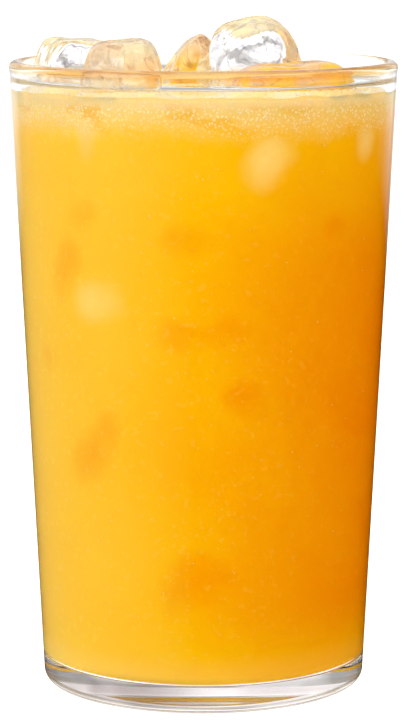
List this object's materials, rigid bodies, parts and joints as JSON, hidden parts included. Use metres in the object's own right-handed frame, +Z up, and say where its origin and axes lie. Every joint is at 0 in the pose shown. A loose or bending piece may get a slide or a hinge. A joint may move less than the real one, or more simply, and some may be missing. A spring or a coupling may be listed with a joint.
{
  "type": "glass of orange juice",
  "caption": "Tall tapered tumbler with a thick clear base, filled near the brim with cloudy orange juice, melted ice cubes standing out of the top.",
  "frame": {"origin": "centre of the glass's foot on the table", "axes": "+Z up along the glass's axis, -Y towards the front, +X to the right seen from the front"},
  "size_m": [0.077, 0.077, 0.1338],
  "materials": {
    "glass": "clear, smooth",
    "juice": "cloudy orange juice, glossy",
    "ice": "clear, wet"
  },
  "bodies": {
    "root": {"glass": "glass", "juice": "juice", "ice_left": "ice", "ice_front": "ice", "ice_slab": "ice", "ice_tall": "ice", "ice_right": "ice"}
  },
  "joints": []
}
